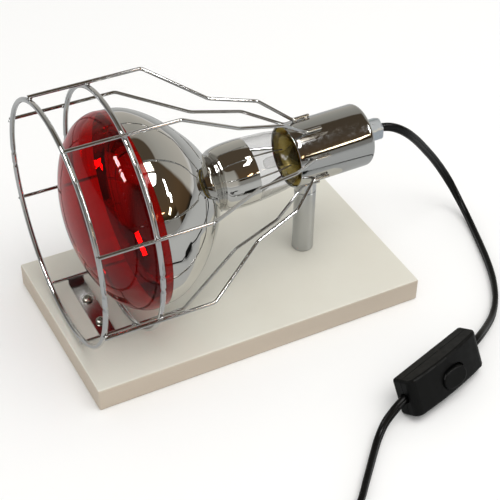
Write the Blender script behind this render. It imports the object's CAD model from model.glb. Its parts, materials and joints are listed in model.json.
"""Studio scene of the heat lamp fixture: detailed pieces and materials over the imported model.

Metres, +Z up. The origin is on the board's underside, under its middle. The lamp shines towards -X.
"""

import json
import math

import bmesh
import bpy
from mathutils import Matrix, Vector


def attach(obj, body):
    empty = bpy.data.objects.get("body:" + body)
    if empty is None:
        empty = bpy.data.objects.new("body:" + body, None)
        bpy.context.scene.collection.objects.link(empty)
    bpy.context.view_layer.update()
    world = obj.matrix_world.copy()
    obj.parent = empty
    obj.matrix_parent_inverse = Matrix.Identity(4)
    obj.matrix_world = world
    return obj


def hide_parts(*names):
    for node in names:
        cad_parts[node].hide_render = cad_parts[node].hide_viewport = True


MM = 0.001

# Sizes that the model also has
AXIS_Z = 94.8 * MM
RING_RADIUS = 75.6 * MM
RING_WIRE = 1.6 * MM
BAR_WIRE = 1.1 * MM
GAP = 0.3 * MM
BAR_RADIUS = RING_RADIUS + RING_WIRE + GAP + BAR_WIRE
RING_FRONT_X = -107.6 * MM
RING_MIDDLE_X = -72.6 * MM
BAR_FIRST_BEND = (-38.8 * MM, BAR_RADIUS)
# Each bar's angle from the top towards -Y and the angle of its weld, in degrees, then its second and third
# bends, along and out from the axis in millimetres
GUARD_BARS = [
    (22.9, 20, (2.8, 51.5), (34.2, 40.3)),
    (67.9, 69, (5.0, 45.7), (34.3, 37.8)),
    (113.1, 111, (3.1, 49.5), (36.0, 37.9)),
    (160.6, 155.5, (2.6, 50.1), (34.3, 39.4)),
    (203.6, 204.5, (2.7, 49.9), (34.0, 39.8)),
    (247.7, 248, (2.7, 49.9), (34.0, 39.8)),
    (293.2, 297, (1.4, 50.1), (33.5, 40.5)),
    (340.8, 336.5, (0.1, 50.3), (32.4, 40.5)),
]
HOUSING_RADIUS = 20.6 * MM
HOUSING_WALL = 1.0 * MM
HOUSING_FRONT_X = 46.6 * MM
HOUSING_DEPTH = 54.4 * MM
HOUSING_CORNER = 3.2 * MM
HOUSING_TILT = math.radians(1.2)
HOLDER_RING_BACK = 7.6 * MM
HOLDER_RING_RADIUS = 19.2 * MM
HOLDER_RING_HOLE = 15.3 * MM
SHELL_START = 9.0 * MM
SHELL_END = 33.2 * MM
SHELL_RADIUS = 14.55 * MM
SHELL_WALL = 0.25 * MM
THREAD_PITCH = 3.5 * MM
THREAD_DEPTH = 0.28 * MM
BAR_WELD_RADIUS = HOUSING_RADIUS + GAP + BAR_WIRE
BAR_WELD_X = 55.0 * MM
BAR_END_X = 66.5 * MM
BOARD_THICKNESS = 16.5 * MM
STRIP_X = -89.4 * MM
STRIP_THICKNESS = 1.5 * MM
STRIP_SCREW_Y = 11.2 * MM
POST_X = 61.7 * MM
POST_RADIUS = 7.2 * MM
POST_TOP_Z = 64.4 * MM
BULB_PIVOT_X = 66.0 * MM
BULB_PIVOT_Z = 95.2 * MM
BULB_DROOP = math.radians(2.2)
BULB_RADIUS = 62.5 * MM
BULB_FRONT = -165.9 * MM
BULB_WIDEST = -131.1 * MM
GLASS_WALL = 1.0 * MM
RED_END = -127.5 * MM
RED_RIM = 3.0 * MM
MIRROR_END = -47.0 * MM
NECK_END = -17.4 * MM
# The shoulder at the start of the neck is a quarter of a superellipse
SHOULDER_POWER = 2.6
SHOULDER_END = -52.0 * MM
SHOULDER_LENGTH = 18.9 * MM
WAIST_RADIUS = 17.2 * MM
NECK_RADIUS = 21.3 * MM

ROOM_RADIUS = 2.2

# Cord: a flat twin lead, on its edge. The coil, the plug and the routes are in millimetres.
CORD_WIDTH = 6.0 * MM
CORD_THICKNESS = 3.8 * MM
CORD_LEAN = math.radians(25)
COIL_CENTRE = (-37.0, -263.2)
COIL_RADIUS = 35.5
COIL_PITCH = 4.0
LAYER_Z = (3.3, 9.3)
COIL_OUTSIDE = COIL_RADIUS + 6.2
SWITCH_Z = 14.2
PLUG_Z = 6.9
COIL_ENTRY = math.radians(128)
COIL_EXIT = math.radians(-110)
# From inside the outlet and through the switch
CORD_ROUTE = [
    (106, 0, 96),
    (111, 0, 96.1),
    (116, -0.1, 96.2),
    (121, -0.5, 95.6),
    (126, -1, 93.9),
    (131.6, -1.4, 90.7),
    (139, -0.8, 84.6),
    (149, 2.4, 74),
    (159.4, 6.2, 61.6),
    (170.4, 9.3, 47.7),
    (180.1, 10.8, 33.9),
    (187.2, 8.7, 21.7),
    (190.7, 0.8, 11.4),
    (190.4, -11, 5.3),
    (186.4, -26.4, 3.3),
    (180.9, -43, 3.2),
    (174.9, -59.4, 3.2),
    (168.2, -74.6, 3.2),
    (160.5, -88, 3.2),
    (153.2, -97.5, 3.3),
    (144, -106.6, 4.6),
    (132.7, -115.7, 8.5),
    (120.8, -124.4, 13),
    (113, -128.8, 14.2),
    (109, -130.1, 14.2),
    (105.7, -131.2, 14.2),
    (92, -135.6, 14.2),
    (79.5, -139.7, 14.2),
    (65, -144.4, 14.2),
]
# From the far end of the switch to the coil
LEAD_ROUTE = [
    (51.5, -148.8, 14.2),
    (48.2, -149.9, 14.2),
    (43, -151.8, 13.4),
    (37.2, -154, 11.3),
    (34, -155.2, 9.7),
    (30.8, -156.6, 7.9),
    (26.8, -159.2, 5.6),
    (21.4, -163.8, 3.8),
    (13, -172.6, 3.2),
    (2, -184.4, 3.2),
    (-8.5, -195.6, 3.2),
    (-20, -205.8, 3.2),
    (-30, -212.7, 3.2),
    (-38.7, -219.4, 3.2),
]


# ---------------------------------------------------------------- camera, light and floor


def make_camera():
    """The camera at its place. Its axes are its right, its up and its backward direction."""
    data = bpy.data.cameras.new("camera")
    data.lens = 89.7
    data.sensor_width = 36.0
    data.clip_start = 0.01
    camera = bpy.data.objects.new("camera", data)
    bpy.context.scene.collection.objects.link(camera)
    right = Vector((0.8895, -0.4568, 0.0120)).normalized()
    forward = Vector((0.3563, 0.6769, -0.6441)).normalized()
    up = right.cross(forward).normalized()
    right = forward.cross(up)
    axes = Matrix((right, up, -forward)).transposed().to_4x4()
    camera.matrix_world = Matrix.Translation((-0.27218, -0.55829, 0.55816)) @ axes
    bpy.context.scene.camera = camera


def make_floor():
    """The white table, with no edge in view."""
    bm = bmesh.new()
    bmesh.ops.create_grid(bm, x_segments=1, y_segments=1, size=6.0)
    mesh = bpy.data.meshes.new("floor")
    bm.to_mesh(mesh)
    bm.free()
    floor = bpy.data.objects.new("floor", mesh)
    bpy.context.scene.collection.objects.link(floor)
    look = Look("floor_paper", (0.92, 0.92, 0.915), roughness=0.9)
    look.set("Specular IOR Level", 0.1)
    # What shines mirrors a darker table than the camera sees
    path = look.add("ShaderNodeLightPath")
    colour = look.blend(path.outputs["Is Glossy Ray"], (0.92, 0.92, 0.915), (0.54, 0.55, 0.55))
    look.join(colour, look.shader.inputs["Base Color"])
    floor.data.materials.append(look.material)


def direction(azimuth, elevation):
    """Towards an azimuth from +X and an elevation, in degrees."""
    a = math.radians(azimuth)
    e = math.radians(elevation)
    return Vector((math.cos(a) * math.cos(e), math.sin(a) * math.cos(e), math.sin(e)))


def area_light(name, centre, along, size, radiance, colour=(1, 1, 1), shiny=False):
    """A soft box at the centre that faces the lamp. Only matt surfaces see it, or only shiny ones."""
    data = bpy.data.lights.new(name, "AREA")
    data.shape = "RECTANGLE"
    data.size, data.size_y = size
    data.color = colour
    data.energy = radiance * math.pi * size[0] * size[1]
    light = bpy.data.objects.new(name, data)
    bpy.context.scene.collection.objects.link(light)
    away = (centre - Vector((0, 0, AXIS_Z))).normalized()
    side = (along - away * along.dot(away)).normalized()
    axes = Matrix((side, away.cross(side), away)).transposed().to_4x4()
    light.matrix_world = Matrix.Translation(centre) @ axes
    light.visible_camera = False
    light.visible_glossy = shiny
    light.visible_transmission = shiny
    light.visible_diffuse = not shiny


def window(name, start, end, width, radiance, colour=(1, 1, 1)):
    """A bright pane that mirrors in the bulb and the housing, from one azimuth and elevation to another."""
    first = direction(*start) * ROOM_RADIUS
    last = direction(*end) * ROOM_RADIUS
    centre = (first + last) / 2 + Vector((0, 0, AXIS_Z))
    size = ((last - first).length, width)
    area_light(name, centre, last - first, size, radiance, colour, shiny=True)


def make_lights():
    area_light("key", direction(-55, 71) * 1.7, Vector((1, 0, 0)), (1.3, 1.2), 2.7, (1.0, 0.99, 0.97))
    area_light("fill", direction(-130, 48) * 2.0, Vector((1, 0, 0)), (1.6, 1.2), 0.35)
    window("ceiling_panel_1", (153, 57), (176, 57), 0.30, 40)
    window("ceiling_panel_2", (181, 55), (201, 50), 0.28, 40)
    window("ceiling_panel_3", (-15, 68.5), (-36, 63), 0.17, 7, (1, 0.93, 0.82))
    window("ceiling_panel_4", (-40, 61), (-60, 52.5), 0.17, 9)
    window("window_1", (-33, 46), (-48, 33.5), 0.11, 40)
    window("window_2", (-39.5, 32.5), (-48, 26.5), 0.11, 40)
    window("window_3", (-56, 24), (-63, 19), 0.10, 9, (1, 0.85, 0.6))
    window("window_4", (-67, 24), (-71, 19), 0.09, 9, (1, 0.6, 0.3))


def make_world():
    """An even white light. What shines or is clear sees a brown-ended room instead."""
    world = bpy.data.worlds.new("studio")
    bpy.context.scene.world = world
    world.use_nodes = True
    world.cycles.sampling_method = "NONE"
    tree = world.node_tree
    tree.nodes.clear()
    add = tree.nodes.new
    join = tree.links.new
    out = add("ShaderNodeOutputWorld")
    even = add("ShaderNodeBackground")
    even.inputs["Color"].default_value = (1.0, 0.995, 0.985, 1)
    even.inputs["Strength"].default_value = 0.74
    page = add("ShaderNodeBackground")
    page.inputs["Color"].default_value = (0.68, 0.68, 0.675, 1)
    room = add("ShaderNodeBackground")
    path = add("ShaderNodeLightPath")
    shiny = add("ShaderNodeMath")
    shiny.operation = "MAXIMUM"
    join(path.outputs["Is Glossy Ray"], shiny.inputs[0])
    join(path.outputs["Is Transmission Ray"], shiny.inputs[1])
    first = add("ShaderNodeMixShader")
    join(shiny.outputs[0], first.inputs[0])
    join(even.outputs[0], first.inputs[1])
    join(room.outputs[0], first.inputs[2])
    second = add("ShaderNodeMixShader")
    join(path.outputs["Is Camera Ray"], second.inputs[0])
    join(first.outputs[0], second.inputs[1])
    join(page.outputs[0], second.inputs[2])
    join(second.outputs[0], out.inputs["Surface"])

    place = add("ShaderNodeTexCoord")
    split = add("ShaderNodeSeparateXYZ")
    join(place.outputs["Generated"], split.inputs[0])
    azimuth = add("ShaderNodeMath")
    azimuth.operation = "ARCTAN2"
    join(split.outputs["Y"], azimuth.inputs[0])
    join(split.outputs["X"], azimuth.inputs[1])

    def beyond(start, end):
        """0 at the first azimuth and 1 at the second, in degrees."""
        step = add("ShaderNodeMapRange")
        step.interpolation_type = "SMOOTHSTEP"
        step.inputs["From Min"].default_value = math.radians(start)
        step.inputs["From Max"].default_value = math.radians(end)
        join(azimuth.outputs[0], step.inputs["Value"])
        return step.outputs["Result"]

    def heights(stops):
        """Colours by the sine of the elevation."""
        ramp = add("ShaderNodeValToRGB")
        join(split.outputs["Z"], ramp.inputs[0])
        elements = ramp.color_ramp.elements
        for index, (height, colour) in enumerate(stops):
            stop = elements[index] if index < len(elements) else elements.new(height)
            stop.position = height
            stop.color = (*colour, 1)
        return ramp.outputs["Color"]

    def blend(factor, first, second):
        node = add("ShaderNodeMix")
        node.data_type = "RGBA"
        join(factor, node.inputs["Factor"])
        join(first, node.inputs[6])
        join(second, node.inputs[7])
        return node.outputs[2]

    pale = (0.62, 0.59, 0.53)
    brown = (0.125, 0.078, 0.04)
    ceiling = (0.10, 0.075, 0.05)
    walls = heights(
        [
            (0.0, (0.8, 0.79, 0.77)),
            (0.06, pale),
            (0.6, (0.46, 0.45, 0.41)),
            (0.79, (0.4, 0.38, 0.34)),
            (0.82, ceiling),
        ]
    )
    dark_end = heights(
        [
            (0.0, (0.02, 0.017, 0.012)),
            (0.05, (0.09, 0.055, 0.028)),
            (0.3, brown),
            (0.82, ceiling),
        ]
    )
    near_end = heights(
        [
            (0.0, (0.34, 0.33, 0.31)),
            (0.2, (0.30, 0.29, 0.27)),
            (0.22, (0.03, 0.02, 0.008)),
            (0.3, (0.05, 0.032, 0.015)),
            (0.36, brown),
            (0.82, ceiling),
        ]
    )
    behind = heights(
        [
            (0.0, (0.16, 0.157, 0.15)),
            (0.1, (0.10, 0.095, 0.088)),
            (0.4, (0.20, 0.19, 0.175)),
            (0.75, (0.24, 0.225, 0.20)),
            (0.84, ceiling),
        ]
    )
    colour = blend(beyond(-44, -36), near_end, dark_end)
    colour = blend(beyond(-5, 1), colour, walls)
    colour = blend(beyond(96, 118), colour, behind)
    colour = blend(beyond(-84, -78), walls, colour)
    colour = blend(beyond(-146, -128), behind, colour)
    join(colour, room.inputs["Color"])
    room.inputs["Strength"].default_value = 1.0


# ---------------------------------------------------------------- materials


class Look:
    """A Principled material with the noise, ramp and bump nodes that the pieces need."""

    def __init__(self, name, colour, metallic=0.0, roughness=0.5, transmission=0.0, ior=1.5):
        self.material = bpy.data.materials.new(name)
        self.material.use_nodes = True
        self.tree = self.material.node_tree
        self.shader = self.tree.nodes["Principled BSDF"]
        self.set("Base Color", (*colour, 1.0))
        self.set("Metallic", metallic)
        self.set("Roughness", roughness)
        self.set("Transmission Weight", transmission)
        self.set("IOR", ior)

    def set(self, name, value):
        self.shader.inputs[name].default_value = value

    def add(self, kind, **values):
        node = self.tree.nodes.new(kind)
        for name, value in values.items():
            setattr(node, name, value)
        return node

    def join(self, output, target):
        self.tree.links.new(output, target)

    def coordinates(self, stretch=(1, 1, 1)):
        """Object coordinates in metres, with each axis scaled."""
        place = self.add("ShaderNodeTexCoord")
        scaled = self.add("ShaderNodeMapping")
        scaled.inputs["Scale"].default_value = stretch
        self.join(place.outputs["Object"], scaled.inputs["Vector"])
        return scaled.outputs["Vector"]

    def noise(self, scale, detail=3.0, stretch=(1, 1, 1)):
        node = self.add("ShaderNodeTexNoise")
        node.inputs["Scale"].default_value = scale
        node.inputs["Detail"].default_value = detail
        self.join(self.coordinates(stretch), node.inputs["Vector"])
        return node.outputs["Fac"]

    def spread(self, value, low, high, start, end):
        """The value from low to high, mapped to start to end."""
        node = self.add("ShaderNodeMapRange")
        node.inputs["From Min"].default_value = low
        node.inputs["From Max"].default_value = high
        node.inputs["To Min"].default_value = start
        node.inputs["To Max"].default_value = end
        self.join(value, node.inputs["Value"])
        return node.outputs["Result"]

    def blend(self, factor, first, second):
        node = self.add("ShaderNodeMix", data_type="RGBA")
        self.join(factor, node.inputs["Factor"])
        for value, socket in ((first, node.inputs[6]), (second, node.inputs[7])):
            if isinstance(value, tuple):
                socket.default_value = (*value, 1.0)
            else:
                self.join(value, socket)
        return node.outputs[2]

    def bump(self, height, distance, strength=1.0):
        node = self.add("ShaderNodeBump")
        node.inputs["Distance"].default_value = distance
        node.inputs["Strength"].default_value = strength
        self.join(height, node.inputs["Height"])
        if self.shader.inputs["Normal"].is_linked:
            self.join(self.shader.inputs["Normal"].links[0].from_socket, node.inputs["Normal"])
        self.join(node.outputs["Normal"], self.shader.inputs["Normal"])

    def vary_roughness(self, value, low, high):
        self.join(self.spread(value, 0.3, 0.7, low, high), self.shader.inputs["Roughness"])


def paint_look():
    """White paint over wood, with roller texture, faint stains and a warmer cut side."""
    look = Look("white_board_paint", (0.64, 0.625, 0.585), roughness=0.42)
    facing = look.add("ShaderNodeNewGeometry")
    split = look.add("ShaderNodeSeparateXYZ")
    look.join(facing.outputs["Normal"], split.inputs[0])
    top = look.spread(split.outputs["Z"], 0.3, 0.9, 0.0, 1.0)
    stain = look.spread(look.noise(14, 4), 0.35, 0.75, 0.0, 1.0)
    upper = look.blend(stain, (0.74, 0.725, 0.645), (0.69, 0.665, 0.58))
    grain = look.noise(60, 3, (0.12, 0.12, 2.0))
    lower = look.blend(grain, (0.52, 0.44, 0.35), (0.59, 0.51, 0.415))
    look.join(look.blend(top, lower, upper), look.shader.inputs["Base Color"])
    look.vary_roughness(look.noise(90), 0.34, 0.5)
    look.bump(look.noise(900, 2), 0.00012, 0.5)
    look.bump(look.noise(160, 2), 0.0002, 0.35)
    return look


def chrome_look(name="polished_chrome", colour=(0.55, 0.555, 0.56), roughness=0.05):
    look = Look(name, colour, metallic=1.0, roughness=roughness)
    look.vary_roughness(look.noise(350, 4), roughness, roughness + 0.07)
    look.bump(look.noise(500, 2, (0.05, 1, 1)), 0.00002, 0.5)
    return look


def satin_look():
    look = Look("satin_tube", (0.50, 0.51, 0.515), metallic=1.0, roughness=0.3)
    look.vary_roughness(look.noise(700, 3, (1, 1, 0.05)), 0.28, 0.33)
    return look


def zinc_look():
    look = Look("zinc_plate", (0.50, 0.55, 0.60), metallic=1.0, roughness=0.32)
    look.vary_roughness(look.noise(500, 4), 0.27, 0.38)
    look.bump(look.noise(1800, 2), 0.00001, 0.3)
    return look


def screw_look():
    look = Look("dull_steel", (0.34, 0.33, 0.29), metallic=1.0, roughness=0.3)
    look.vary_roughness(look.noise(900, 3), 0.24, 0.4)
    return look


def strip_look():
    return chrome_look("strip_chrome", (0.46, 0.45, 0.45), 0.13)


def brass_look():
    look = Look("aged_brass", (0.66, 0.52, 0.22), metallic=0.9, roughness=0.28)
    patch = look.spread(look.noise(220, 4), 0.4, 0.7, 0.0, 1.0)
    look.join(look.blend(patch, (0.72, 0.57, 0.24), (0.58, 0.45, 0.17)), look.shader.inputs["Base Color"])
    look.vary_roughness(look.noise(400), 0.2, 0.4)
    return look


def olive_look():
    """Lacquered brass that has gone olive."""
    look = Look("olive_brass", (0.7, 0.56, 0.13), metallic=0.2, roughness=0.3)
    patch = look.spread(look.noise(160, 3), 0.35, 0.7, 0.0, 1.0)
    look.join(look.blend(patch, (0.62, 0.48, 0.10), (0.40, 0.31, 0.06)), look.shader.inputs["Base Color"])
    look.vary_roughness(look.noise(300), 0.24, 0.42)
    return look


def red_glass_look():
    """The coloured front of the bulb. Its tint deepens a little in soft clouds."""
    look = Look("red_glass", (0.66, 0.0, 0.002), roughness=0.0, transmission=1.0, ior=1.3)
    cloud = look.spread(look.noise(30, 2), 0.3, 0.7, 0.0, 1.0)
    look.join(look.blend(cloud, (0.69, 0.001, 0.009), (0.57, 0.0, 0.004)), look.shader.inputs["Base Color"])
    look.bump(look.noise(28, 1), 0.0005, 0.12)
    return look


def red_rim_look():
    """The rear edge of the coloured front, where the coat is thinner and glows orange-red."""
    return Look("red_rim", (0.78, 0.02, 0.012), roughness=0.03, transmission=0.88, ior=1.3)


def mirror_look():
    """The silvered cone of the bulb, with the faint waves of blown glass."""
    look = Look("silvered_glass", (0.60, 0.595, 0.575), metallic=1.0, roughness=0.015)
    look.bump(look.noise(40, 1), 0.0006, 0.24)
    return look


def thin_glass_look():
    """Thin blown glass: mostly clear, with shine, and darker where it is seen edge on."""
    look = Look("thin_glass", (0.03, 0.032, 0.03), roughness=0.02, transmission=0.0)
    look.set("Alpha", 0.2)
    edge = look.add("ShaderNodeLayerWeight")
    edge.inputs["Blend"].default_value = 0.35
    look.join(look.spread(edge.outputs["Facing"], 0.3, 1.0, 0.10, 0.42), look.shader.inputs["Alpha"])
    return look


def ceramic_look():
    look = Look("lampholder_ceramic", (0.80, 0.77, 0.70), roughness=0.45)
    look.bump(look.noise(900, 3), 0.00008, 0.4)
    return look


def bakelite_look():
    look = Look("black_bakelite", (0.016, 0.015, 0.014), roughness=0.3)
    look.vary_roughness(look.noise(300), 0.24, 0.4)
    look.bump(look.noise(700, 2), 0.00005, 0.3)
    return look


def tungsten_look():
    look = Look("lead_wire", (0.33, 0.31, 0.28), metallic=1.0, roughness=0.4)
    look.vary_roughness(look.noise(600), 0.3, 0.5)
    return look


def plastic_look():
    """Black moulded plastic with a fine spark-eroded grain."""
    look = Look("black_plastic", (0.0015, 0.0018, 0.0018), roughness=0.42)
    look.set("Specular IOR Level", 0.16)
    look.vary_roughness(look.noise(260), 0.36, 0.5)
    look.bump(look.noise(2600, 2), 0.00006, 0.5)
    return look


def sheath_look():
    look = Look("cord_sheath", (0.0015, 0.0015, 0.0015), roughness=0.3)
    look.set("Specular IOR Level", 0.2)
    look.vary_roughness(look.noise(150), 0.24, 0.34)
    look.bump(look.noise(1200, 2), 0.00003, 0.3)
    return look


# ---------------------------------------------------------------- building blocks


def add_piece(name, bm, looks, body, sharp=35):
    """An object from bm that rides on the body, with smooth faces and sharp edges."""
    bmesh.ops.recalc_face_normals(bm, faces=bm.faces)
    mesh = bpy.data.meshes.new(name)
    bm.to_mesh(mesh)
    bm.free()
    mesh.shade_smooth()
    mesh.set_sharp_from_angle(angle=math.radians(sharp))
    for look in looks:
        mesh.materials.append(look.material)
    piece = bpy.data.objects.new(name, mesh)
    bpy.context.scene.collection.objects.link(piece)
    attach(piece, body)
    return piece


def lathe(outline, segments, zone=None):
    """A closed outline of (along, radius) points, turned about X. zone(along) is a face's material number."""
    bm = bmesh.new()
    rings = []
    for along, radius in outline:
        if radius <= 0:
            rings.append([bm.verts.new((along, 0, 0))] * segments)
            continue
        ring = []
        for step in range(segments):
            angle = 2 * math.pi * step / segments
            ring.append(bm.verts.new((along, radius * math.cos(angle), radius * math.sin(angle))))
        rings.append(ring)
    alongs = [along for along, _ in outline]
    for index in range(len(rings)):
        first = rings[index]
        second = rings[(index + 1) % len(rings)]
        middle = (alongs[index] + alongs[(index + 1) % len(rings)]) / 2
        for step in range(segments):
            following = (step + 1) % segments
            corners = [first[step], first[following], second[following], second[step]]
            different = list(dict.fromkeys(corners))
            if len(different) > 2:
                face = bm.faces.new(different)
                face.material_index = zone(middle) if zone else 0
    return bm


def place_bm(bm, matrix):
    bmesh.ops.transform(bm, matrix=matrix, verts=bm.verts)
    return bm


def frame_matrix(location, pitch):
    return Matrix.Translation(location) @ Matrix.Rotation(pitch, 4, "Y")


LAMP = frame_matrix((HOUSING_FRONT_X, 0, AXIS_Z), -HOUSING_TILT)
BULB = frame_matrix((BULB_PIVOT_X, 0, BULB_PIVOT_Z), -BULB_DROOP)


def upright(x, y):
    """From an outline's along direction to +Z, over that point."""
    return frame_matrix((x, y, 0), -math.pi / 2)


def arc(centre, radius, start_degrees, end_degrees, steps):
    points = []
    for step in range(steps + 1):
        angle = math.radians(start_degrees + (end_degrees - start_degrees) * step / steps)
        points.append((centre[0] + radius * math.cos(angle), centre[1] + radius * math.sin(angle)))
    return points


def smooth_curve(points, spacing):
    """Points a little apart on a Catmull-Rom curve through the given points."""
    points = [Vector(point) for point in points]
    padded = [2 * points[0] - points[1]] + points + [2 * points[-1] - points[-2]]
    fine = []
    span_steps = 24
    for a, b, c, d in zip(padded, padded[1:], padded[2:], padded[3:]):
        for step in range(span_steps):
            t = step / span_steps
            middle = (c - a) * t + (2 * a - 5 * b + 4 * c - d) * t**2 + (3 * b - a - 3 * c + d) * t**3
            fine.append(b + middle / 2)
    fine.append(points[-1])
    length = sum((second - first).length for first, second in zip(fine, fine[1:]))
    count = max(2, round(length / spacing))
    kept = [fine[0]]
    run = 0.0
    for first, second in zip(fine, fine[1:]):
        run += (second - first).length
        if run >= len(kept) * length / count and len(kept) < count:
            kept.append(second)
    return kept + [fine[-1]]


def sweep(path, section, leans=None, cyclic=False):
    """A closed section of (up, across) points carried along the path. Up stays as near +Z as it can."""
    bm = bmesh.new()
    rings = []
    count = len(path)
    for index, point in enumerate(path):
        before = path[index - 1] if index or cyclic else point
        after = path[(index + 1) % count] if index < count - 1 or cyclic else point
        forward = (after - before).normalized()
        up = Vector((0, 0, 1))
        if abs(forward.z) > 0.999:
            up = Vector((1, 0, 0))
        across = forward.cross(up).normalized()
        up = across.cross(forward).normalized()
        lean = leans[index] if leans else 0.0
        high = up * math.cos(lean) + across * math.sin(lean)
        wide = across * math.cos(lean) - up * math.sin(lean)
        rings.append([bm.verts.new(point + high * a + wide * b) for a, b in section])
    pairs = list(zip(rings, rings[1:]))
    if cyclic:
        pairs.append((rings[-1], rings[0]))
    else:
        bm.faces.new(rings[0])
        bm.faces.new(rings[-1])
    for first, second in pairs:
        for step in range(len(section)):
            following = (step + 1) % len(section)
            bm.faces.new((first[step], first[following], second[following], second[step]))
    return bm


def round_section(radius, sides=14):
    return [
        (radius * math.cos(2 * math.pi * step / sides), radius * math.sin(2 * math.pi * step / sides))
        for step in range(sides)
    ]


def round_corners(points, radius, steps=5):
    """The path with each inner corner replaced by a short bend of the given reach."""
    path = [Vector(points[0])]
    for before, corner, after in zip(points, points[1:], points[2:]):
        corner = Vector(corner)
        start = corner + (Vector(before) - corner).normalized() * radius
        end = corner + (Vector(after) - corner).normalized() * radius
        for step in range(steps + 1):
            t = step / steps
            path.append(start * (1 - t) ** 2 + corner * 2 * t * (1 - t) + end * t**2)
    path.append(Vector(points[-1]))
    return path


# ---------------------------------------------------------------- cord


def oval_section():
    """A flat oval with a shallow groove along the middle of both sides."""
    half = (CORD_WIDTH - CORD_THICKNESS) / 2
    radius = CORD_THICKNESS / 2
    groove_edge = 0.35 * MM
    groove_depth = 0.22 * MM
    section = []
    for sign in (1, -1):
        for step in range(9):
            angle = math.radians(-90 + 22.5 * step) if sign > 0 else math.radians(90 + 22.5 * step)
            section.append((sign * half + radius * math.cos(angle), radius * math.sin(angle)))
        section.append((groove_edge * sign, radius * sign))
        section.append((0, (radius - groove_depth) * sign))
        section.append((-groove_edge * sign, radius * sign))
    return section


def coil_path():
    """Three columns of turns on the floor from the outside in, then back out on top of them.

    Every turn but the first moves over to its own column in its first jog.
    """
    path = []
    centre = Vector((*COIL_CENTRE, 0))
    columns = [(1, 0), (0, 0), (-1, 0), (-1, 1), (0, 1), (1, 1)]
    whole = 2 * math.pi
    last = 5 * whole + (COIL_EXIT + whole - COIL_ENTRY)
    steps = round(last / math.radians(18))
    jog = math.radians(96)
    for step in range(steps + 1):
        turned = last * step / steps
        turn = min(int(turned / whole), 5)
        into = turned - turn * whole
        column, layer = columns[turn]
        if turn > 0 and into < jog:
            share = into / jog
            share = share * share * (3 - 2 * share)
            column = columns[turn - 1][0] * (1 - share) + column * share
            layer = columns[turn - 1][1] * (1 - share) + layer * share
        radius = COIL_RADIUS + COIL_PITCH * column
        height = LAYER_Z[0] + (LAYER_Z[1] - LAYER_Z[0]) * layer
        angle = COIL_ENTRY + turned
        path.append(centre + Vector((radius * math.cos(angle), radius * math.sin(angle), height)))
    return path


def make_cord(look):
    """One cord from the outlet through the switch and round the coil to the plug."""
    run = [Vector(point) for point in CORD_ROUTE + LEAD_ROUTE]
    turns = coil_path()
    out = Vector((math.cos(COIL_EXIT), math.sin(COIL_EXIT), 0))
    along = Vector((-out.y, out.x, 0))
    # The tail leaves the coil on a tangent. It is straight from where it is clear of the outer turns.
    tangent_point = Vector((*COIL_CENTRE, PLUG_Z)) + out * COIL_RADIUS
    cord_side = COIL_RADIUS - CORD_THICKNESS / 2 / MM
    clear = math.sqrt((COIL_OUTSIDE + 0.3) ** 2 - cord_side**2) + 0.5
    tail = [tangent_point + along * (clear + step) for step in (0, 13, 26)]
    joining = [run[-1].lerp(turns[0], 0.5), turns[-1].lerp(tail[0], 0.5)]
    points = run + joining[:1] + turns + joining[1:] + tail
    path = [point * MM for point in smooth_curve(points, 3.0)]
    switch_start = Vector(CORD_ROUTE[-4]) * MM
    switch_end = Vector(LEAD_ROUTE[0]) * MM
    # The flat lead leans over inside the switch, and comes upright on both sides of it.
    lean_reach = 90 * MM
    leans = []
    for point in path[: len(path) // 2]:
        near = max(0.0, min((point - switch_start).length, (point - switch_end).length) - 4 * MM)
        inside = switch_end.x < point.x < switch_start.x and abs(point.z - SWITCH_Z * MM) < MM
        share = 0.0 if inside else min(1.0, near / lean_reach)
        leans.append(CORD_LEAN * (1 - share))
    leans += [0.0] * (len(path) - len(leans))
    cord = add_piece("mains_cord", sweep(path, oval_section(), leans), [look], "fixture", 60)
    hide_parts("cord_to_switch", "cord_to_coil", "cord_coil", "cord_tail")
    length = sum((second - first).length for first, second in zip(path, path[1:]))
    print("cord length", round(length, 4))
    return cord, path


# ---------------------------------------------------------------- guard


def around_axis(along, radius, angle):
    """A point at this angle from the top, towards -Y."""
    return Vector((along, -radius * math.sin(angle), AXIS_Z + radius * math.cos(angle)))


def ring_path(along, steps=144):
    return [around_axis(along, RING_RADIUS, 2 * math.pi * step / steps) for step in range(steps)]


def weld(name, centre, size, seed, look):
    """A small lump of weld metal: a squashed, uneven ball."""
    bm = bmesh.new()
    bmesh.ops.create_icosphere(bm, subdivisions=3, radius=1.0)
    for vert in bm.verts:
        wave = 1 + 0.12 * math.sin(5 * vert.co.x + seed) + 0.1 * math.sin(7 * vert.co.y + 2 * seed)
        vert.co = Vector((vert.co.x * size[0], vert.co.y * size[1], vert.co.z * size[2])) * wave
    place_bm(bm, Matrix.Translation(centre))
    return add_piece(name, bm, [look], "fixture", 80)


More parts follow.
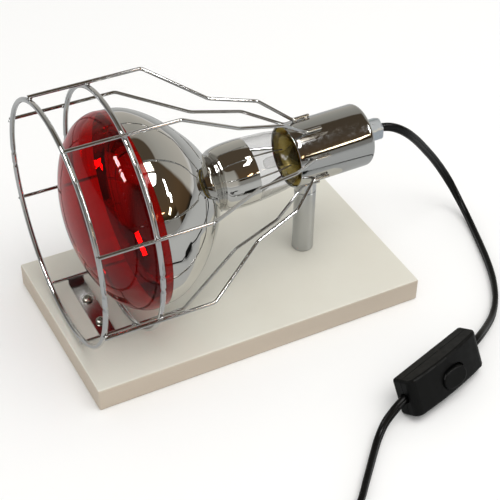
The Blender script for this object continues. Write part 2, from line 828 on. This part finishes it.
def make_guard(look, weld_metal):
    for name, along in (("front", RING_FRONT_X), ("middle", RING_MIDDLE_X)):
        bm = sweep(ring_path(along), round_section(RING_WIRE), cyclic=True)
        ring = add_piece(f"wire_ring_{name}", bm, [look], "fixture")
        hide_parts(f"guard_ring_{name}")
    for number, (degrees, weld_degrees, second_bend, third_bend) in enumerate(GUARD_BARS, start=1):
        angle = math.radians(degrees)
        profile = [(RING_FRONT_X - RING_WIRE / 2, BAR_RADIUS), BAR_FIRST_BEND]
        profile += [(along * MM, radius * MM) for along, radius in (second_bend, third_bend)]
        corners = [around_axis(along, radius, angle) for along, radius in profile]
        for along in (BAR_WELD_X, BAR_END_X):
            spot = around_axis(along, BAR_WELD_RADIUS, math.radians(weld_degrees))
            spot.z += (along - HOUSING_FRONT_X) * math.tan(HOUSING_TILT)
            corners.append(spot)
        path = round_corners(corners, 1.8 * MM)
        bm = sweep(path, round_section(BAR_WIRE))
        bar = add_piece(f"wire_bar_{number}", bm, [look], "fixture")
        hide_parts(f"guard_bar_{number}")
        for ring_number, along in enumerate((RING_FRONT_X, RING_MIDDLE_X), start=1):
            spot = around_axis(along, RING_RADIUS + RING_WIRE + 0.1 * MM, angle)
            weld(f"ring_weld_{number}_{ring_number}", spot, (1.7 * MM, 1.1 * MM, 1.1 * MM), number, look)
        for end_number, along in enumerate((BAR_WELD_X + 1.5 * MM, BAR_END_X - 2.5 * MM), start=1):
            spot = around_axis(along, HOUSING_RADIUS + 0.35 * MM, math.radians(weld_degrees))
            spot.z += (along - HOUSING_FRONT_X) * math.tan(HOUSING_TILT)
            size = (1.8 * MM, 1.0 * MM, 1.0 * MM)
            weld(f"housing_weld_{number}_{end_number}", spot, size, number + 3, weld_metal)


# ---------------------------------------------------------------- housing, holder and post


def make_housing(look):
    corner_along = HOUSING_DEPTH - HOUSING_CORNER
    corner_out = HOUSING_RADIUS - HOUSING_CORNER
    hole = 5.3 * MM
    lip = 0.5 * MM
    lip_along = 0.45 * MM
    outline = arc((lip_along, HOUSING_RADIUS - lip), lip, 180, 90, 5)
    outline += [(step * 4 * MM, HOUSING_RADIUS) for step in range(1, 12)]
    outline += arc((corner_along, corner_out), HOUSING_CORNER, 90, 0, 14)
    outline += [(HOUSING_DEPTH, hole), (HOUSING_DEPTH - HOUSING_WALL, hole)]
    outline += arc((corner_along, corner_out), HOUSING_CORNER - HOUSING_WALL, 0, 90, 10)
    outline += [(lip_along, HOUSING_RADIUS - HOUSING_WALL)]
    bm = place_bm(lathe(outline, 128), LAMP)
    can = add_piece("housing_can", bm, [look], "fixture")
    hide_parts("lamp_housing")


def make_holder_ring(look):
    """The dished front ring of the holder, with turned grooves in its face."""
    face_depth = 4.3 * MM
    face_width = 3.6 * MM
    groove_depth = 0.16 * MM
    steps = 40
    outline = [(HOLDER_RING_BACK, HOLDER_RING_RADIUS), (HOLDER_RING_BACK, HOLDER_RING_HOLE)]
    for step in range(steps):
        share = (step + 0.5) / steps
        groove = groove_depth * math.sin(step * math.pi / 2.5)
        outline.append((5.6 * MM - face_depth * share + groove, HOLDER_RING_HOLE + face_width * share))
    outline.append((1.4 * MM, HOLDER_RING_RADIUS))
    ring = add_piece("holder_ring", place_bm(lathe(outline, 96), LAMP), [look], "fixture", 70)
    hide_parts("holder_front_ring")


def make_screw_shell(look):
    """The brass shell of the holder, with its rolled thread."""
    steps = 56
    outer = []
    for step in range(steps + 1):
        depth = (SHELL_END - SHELL_START) * step / steps
        wave = THREAD_DEPTH * math.sin(2 * math.pi * depth / THREAD_PITCH)
        outer.append((SHELL_START + depth, SHELL_RADIUS + wave))
    inner = [(along, radius - SHELL_WALL) for along, radius in reversed(outer)]
    bm = place_bm(lathe(outer + inner, 96), LAMP)
    shell = add_piece("threaded_shell", bm, [look], "fixture", 60)
    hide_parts("screw_shell")


def make_screw(number, side, look):
    """A round-headed screw. Its top is a fine round grid with a crossed recess pressed into it."""
    seat = BOARD_THICKNESS + GAP + STRIP_THICKNESS + GAP
    radius = 3.1 * MM
    slot_reach = 1.75 * MM
    slot_width = 0.84 * MM
    segments = 96
    bm = bmesh.new()

    def ring(out, height):
        points = []
        for step in range(segments):
            angle = 2 * math.pi * step / segments
            x, y = out * math.cos(angle), out * math.sin(angle)
            sunk = 0.0
            if out < slot_reach and min(abs(x), abs(y)) < slot_width / 2:
                sunk = 1.2 * MM * (1 - 0.45 * out / slot_reach)
            points.append(bm.verts.new((x, y, height - sunk)))
        return points

    shank = 1.5 * MM
    edge = seat + 0.8 * MM
    dome = 1.3 * MM
    rings = [ring(shank, seat - 10 * MM), ring(shank, seat), ring(radius, seat), ring(radius, edge)]
    for step in range(1, 36):
        out = radius * (1 - step / 36)
        rings.append(ring(out, edge + dome * math.sqrt(1 - (out / radius) ** 2)))
    for first, second in zip(rings, rings[1:]):
        for step in range(segments):
            following = (step + 1) % segments
            bm.faces.new((first[step], first[following], second[following], second[step]))
    bm.faces.new(rings[0])
    bm.faces.new(rings[-1])
    place_bm(bm, Matrix.Translation((STRIP_X, side * STRIP_SCREW_Y, 0)))
    screw = add_piece(f"round_head_screw_{number}", bm, [look], "fixture", 40)
    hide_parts(f"strip_screw_{number}")


def make_post(look):
    floor = BOARD_THICKNESS + GAP
    outline = [
        (floor, POST_RADIUS - MM),
        (floor, POST_RADIUS - 0.15 * MM),
        (floor + 0.15 * MM, POST_RADIUS),
        (POST_TOP_Z - 0.2 * MM, POST_RADIUS),
        (POST_TOP_Z, POST_RADIUS - 0.2 * MM),
        (POST_TOP_Z, POST_RADIUS - MM),
    ]
    bm = place_bm(lathe(outline, 96), upright(POST_X, 0))
    tube = add_piece("post_tube", bm, [look], "fixture")
    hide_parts("support_post")


# ---------------------------------------------------------------- bulb


def bulb_outline():
    """The outside of the bulb from its front to the end of its neck, as (along, radius)."""
    depth = BULB_WIDEST - BULB_FRONT
    dome = []
    for step in range(1, 31):
        angle = math.radians(3 * step)
        dome.append((BULB_WIDEST - depth * math.cos(angle), BULB_RADIUS * math.sin(angle)))
    cone = [(-115.4, 60.2), (-99.6, 50.4), (-84.0, 34.0), (-76.0, 21.6), (-72.6, 17.6)]
    points = [Vector((BULB_WIDEST, BULB_RADIUS, 0))]
    points += [Vector((along * MM, radius * MM, 0)) for along, radius in cone]
    points.append(Vector((-71.3 * MM, 17.3 * MM, 0)))
    rear = [(point.x, point.y) for point in smooth_curve(points, 2.0 * MM)]
    for step in range(2, 41):
        angle = math.radians(90 * step / 40)
        along = SHOULDER_END - SHOULDER_LENGTH * math.cos(angle) ** (2 / SHOULDER_POWER)
        out = math.sin(angle) ** (2 / SHOULDER_POWER)
        rear.append((along, WAIST_RADIUS + (NECK_RADIUS - WAIST_RADIUS) * out))
    neck = [(-45.0, 20.95), (-29.0, 19.6), (-21.5, 18.0), (-17.4, 15.2), (-14.6, 12.3)]
    neck += [(-12.0, 11.8), (-6.0, 11.8)]
    points = [Vector((SHOULDER_END, NECK_RADIUS, 0))]
    points += [Vector((along * MM, radius * MM, 0)) for along, radius in neck]
    rear += [(point.x, point.y) for point in smooth_curve(points, 2.0 * MM)[1:]]
    return dome + rear[1:]


def inset_outline(outline, wall):
    inner = []
    for before, here, after in zip(outline, outline[1:], outline[2:]):
        along = Vector((after[0] - before[0], after[1] - before[1])).normalized()
        inner.append((here[0] + along.y * wall, here[1] - along.x * wall))
    inner.append((outline[-1][0], outline[-1][1] - wall))
    return inner[::-1]


def bulb_zone(along):
    """Red front, orange-red rim, mirrored cone, clear neck and the collar that holds it in the cap."""
    if along < RED_END:
        return 0 if along < RED_END - RED_RIM else 3
    if along < MIRROR_END:
        return 1
    return 2 if along < NECK_END else 4


def make_bulb(envelope_looks, stem_look, wire_look):
    outside = bulb_outline()
    inside = inset_outline(outside, GLASS_WALL)
    envelope = [(BULB_FRONT, 0)] + outside + inside + [(BULB_FRONT + GLASS_WALL, 0)]
    bm = place_bm(lathe(envelope, 128, bulb_zone), BULB)
    glass = add_piece("bulb_envelope", bm, envelope_looks, "bulb", 50)
    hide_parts("bulb_glass")

    stem = [(-7.0, 9.4), (-7.0, 10.3), (-8.4, 10.3), (-13.0, 7.0), (-19.0, 4.6), (-26.0, 3.9), (-33.0, 3.6)]
    stem += [(-34.6, 2.9), (-35.0, 1.6), (-35.0, 0), (-18.0, 0), (-15.6, 2.4), (-12.0, 5.6)]
    stem = [(along * MM, radius * MM) for along, radius in stem]
    piece = add_piece("glass_stem", place_bm(lathe(stem, 48), BULB), [stem_look], "bulb", 40)
    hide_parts("bulb_stem")
    for number, side in ((1, 1), (2, -1)):
        lead = [
            (-19, side * 6.0, side * 2.2),
            (-29, side * 6.6, side * 3.0),
            (-53, side * 7.4, side * 3.6),
            (-75, side * 9.0, side * 3.8),
            (-97, side * 13.0, side * 4.0),
        ]
        path = smooth_curve([Vector(point) * MM for point in lead], 3 * MM)
        bm = place_bm(sweep(path, round_section(0.5 * MM, 10)), BULB)
        piece = add_piece(f"lead_wire_{number}", bm, [wire_look], "bulb")
        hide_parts(f"bulb_lead_{number}")


# ---------------------------------------------------------------- the whole scene


def dress(node, look):
    """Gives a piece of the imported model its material."""
    piece = frame["nodes"][node]
    if not piece.material_slots:
        piece.data.materials.append(look.material)
    for place in piece.material_slots:
        place.material = look.material


def main():
    bpy.context.scene.view_settings.view_transform = "Standard"
    make_camera()
    make_floor()
    make_world()
    make_lights()

    looks = {
        "white_paint": paint_look(),
        "chrome": chrome_look(),
        "zinc_plate": zinc_look(),
        "brass": brass_look(),
        "red_glass": red_glass_look(),
        "clear_glass": thin_glass_look(),
        "ceramic": ceramic_look(),
        "bakelite": bakelite_look(),
        "tungsten": tungsten_look(),
        "black_plastic": plastic_look(),
        "cord_sheath": sheath_look(),
    }
    for entry in frame["record"]["subparts"]:
        dress(entry["node"], looks[entry["material_slot"]])

    dress("mounting_strip", strip_look())

    cord, path = make_cord(looks["cord_sheath"])
    make_guard(looks["chrome"], chrome_look("weld_chrome", (0.36, 0.35, 0.33), 0.16))
    make_housing(chrome_look("housing_chrome", (0.475, 0.48, 0.475), 0.03))
    make_holder_ring(olive_look())
    make_screw_shell(looks["brass"])
    for number, side in ((1, 1), (2, -1)):
        make_screw(number, side, screw_look())
    make_post(satin_look())
    envelope_looks = [looks["red_glass"], mirror_look(), looks["clear_glass"], red_rim_look(), olive_look()]
    make_bulb(envelope_looks, looks["clear_glass"], looks["tungsten"])


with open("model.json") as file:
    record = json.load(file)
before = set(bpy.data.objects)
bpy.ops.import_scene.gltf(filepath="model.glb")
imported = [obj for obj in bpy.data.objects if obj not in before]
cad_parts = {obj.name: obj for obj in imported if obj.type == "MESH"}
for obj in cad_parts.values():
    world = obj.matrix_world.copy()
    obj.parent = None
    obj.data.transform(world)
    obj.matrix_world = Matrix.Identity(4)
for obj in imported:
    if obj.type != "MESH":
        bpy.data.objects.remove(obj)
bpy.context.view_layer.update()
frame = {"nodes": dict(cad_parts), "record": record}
main()
